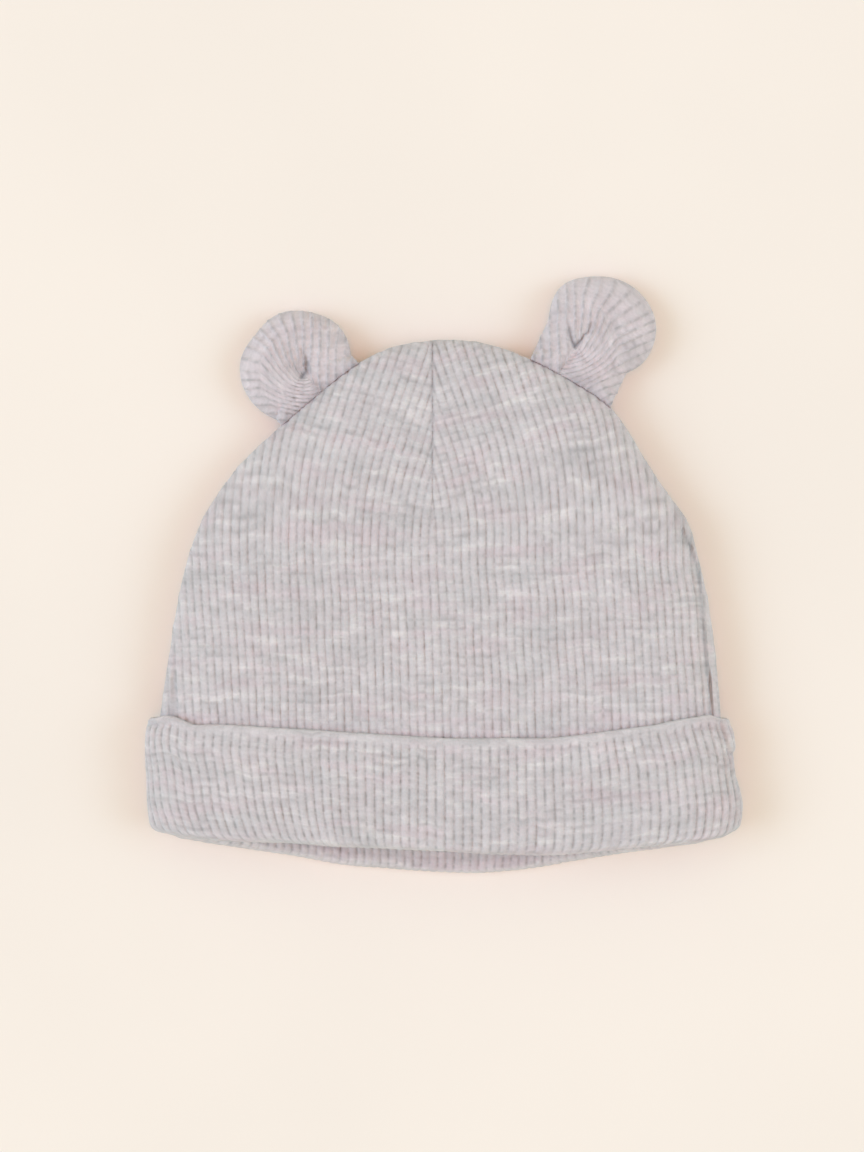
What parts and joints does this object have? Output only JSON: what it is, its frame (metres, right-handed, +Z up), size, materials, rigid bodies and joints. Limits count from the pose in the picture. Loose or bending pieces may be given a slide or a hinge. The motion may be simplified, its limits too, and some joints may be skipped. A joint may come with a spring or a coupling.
{
  "type": "baby hat with ears",
  "caption": "Soft ribbed knit baby beanie lying flat, with a turned-up cuff, a dart at the crown and small round pinched ears sewn into the seam.",
  "frame": {"origin": "on the floor under the middle of the whole hat as it lies flat", "axes": "+Z up out of the front of the hat, +Y from the mouth towards the top of the crown, +X towards the right ear as seen from above"},
  "size_m": [0.1706, 0.171, 0.0207],
  "materials": {
    "rib_knit": "matte heather grey rib knit with fine dark grooves between the ribs",
    "cuff_knit": "the same knit, turned up, with softly rolled edges",
    "ear_knit": "the same knit, slightly warmer where it is gathered"
  },
  "bodies": {
    "root": {"crown_front": "rib_knit", "crown_back": "rib_knit", "cuff": "cuff_knit", "ear_left": "ear_knit", "ear_right": "ear_knit"}
  },
  "joints": []
}
